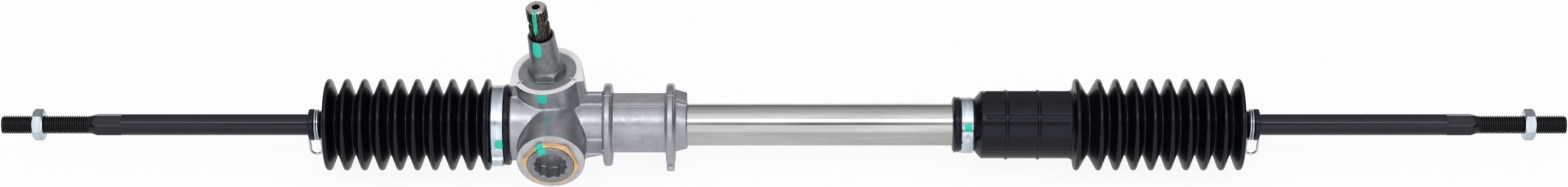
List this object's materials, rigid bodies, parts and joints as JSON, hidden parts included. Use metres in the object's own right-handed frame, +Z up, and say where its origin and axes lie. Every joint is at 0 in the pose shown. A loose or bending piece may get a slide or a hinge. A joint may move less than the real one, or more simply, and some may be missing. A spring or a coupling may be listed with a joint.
{
  "type": "steering gear",
  "caption": "Manual rack-and-pinion steering gear: die-cast housing with splined pinion, rack tube, bellows boots and inner tie rods on ball joints.",
  "frame": {"origin": "on the rack axis, midway between the two ribs of the housing's clamp seat", "axes": "+X along the rack away from the pinion tower, +Z up the pinion tower, -Y towards the yoke plug"},
  "size_m": [1.0304, 0.0769, 0.1217],
  "materials": {
    "cast_aluminium": "die-cast, fine grain, soft sheen",
    "cover_casting": "die-cast, darker and finer than the housing",
    "tube_steel": "drawn tube, satin zinc with a faint olive tone",
    "ground_steel": "ground and oiled",
    "dark_steel": "dark oiled steel",
    "black_steel": "black satin coating",
    "blue_zinc": "bright zinc with a blue tone",
    "yellow_zinc": "yellow plated, satin",
    "plug_metal": "grey sintered metal",
    "boot_rubber": "semi-gloss moulded rubber",
    "seal_rubber": "matt rubber",
    "white_plastic": "smooth bearing plastic",
    "bronze": "sintered bronze"
  },
  "bodies": {
    "housing": {"housing": "cast_aluminium", "rack_tube": "tube_steel", "tube_end_bush": "white_plastic", "pinion_lower_bush": "bronze", "bearing_outer_race": "ground_steel", "pinion_cover": "cover_casting", "pinion_seal": "seal_rubber", "cover_o_ring": "seal_rubber", "support_yoke": "plug_metal", "yoke_liner": "white_plastic", "yoke_spring": "dark_steel", "yoke_plug": "plug_metal", "plug_o_ring": "seal_rubber", "yoke_lock_nut": "yellow_zinc", "left_boot": "boot_rubber", "right_boot": "boot_rubber", "left_boot_band": "blue_zinc", "right_boot_band": "blue_zinc"},
    "rack": {"rack_bar": "ground_steel", "left_ball_socket": "dark_steel", "right_ball_socket": "dark_steel", "left_tab_washer": "ground_steel", "right_tab_washer": "ground_steel"},
    "pinion": {"pinion": "dark_steel", "bearing_inner_race": "ground_steel", "bearing_circlip": "dark_steel"},
    "bearing_cage": {"bearing_cage": "bronze", "bearing_balls": "ground_steel"},
    "left_ball_seat": {"left_ball_seat": "white_plastic"},
    "right_ball_seat": {"right_ball_seat": "white_plastic"},
    "left_tie_rod": {"left_tie_rod": "black_steel", "left_lock_nut": "blue_zinc", "left_boot_clip": "blue_zinc"},
    "right_tie_rod": {"right_tie_rod": "black_steel", "right_lock_nut": "blue_zinc", "right_boot_clip": "blue_zinc"}
  },
  "joints": [
    {"name": "rack_slide", "type": "slide", "parent": "housing", "child": "rack", "axis": [1, 0, 0], "range_m": [-0.068, 0.068], "deforming": ["left_boot", "right_boot"]},
    {"name": "pinion_turn", "type": "hinge", "parent": "housing", "child": "pinion", "pos_m": [-0.0568, 0.01351, 0], "axis": [-0.0872, 0, 0.9962], "range_deg": [-662, 662]},
    {"name": "bearing_cage_turn", "type": "hinge", "parent": "housing", "child": "bearing_cage", "pos_m": [-0.05854, 0.01351, 0.01992], "axis": [-0.0872, 0, 0.9962], "range_deg": [-256, 256]},
    {"name": "left_rod_fore_aft", "type": "hinge", "parent": "rack", "child": "left_ball_seat", "pos_m": [-0.18, 0, 0], "axis": [0, 0, 1], "range_deg": [-15, 15], "deforming": ["left_boot"]},
    {"name": "left_rod_up_down", "type": "hinge", "parent": "left_ball_seat", "child": "left_tie_rod", "pos_m": [-0.18, 0, 0], "axis": [0, 1, 0], "range_deg": [-22, 22], "deforming": ["left_boot"]},
    {"name": "right_rod_fore_aft", "type": "hinge", "parent": "rack", "child": "right_ball_seat", "pos_m": [0.3704, 0, 0], "axis": [0, 0, 1], "range_deg": [-15, 15], "deforming": ["right_boot"]},
    {"name": "right_rod_up_down", "type": "hinge", "parent": "right_ball_seat", "child": "right_tie_rod", "pos_m": [0.3704, 0, 0], "axis": [0, 1, 0], "range_deg": [-22, 22], "deforming": ["right_boot"]}
  ],
  "couplings": [
    {"joint": "pinion_turn", "follows": "rack_slide", "rad_per_m": 169.46},
    {"joint": "bearing_cage_turn", "follows": "rack_slide", "rad_per_m": 65.177}
  ]
}
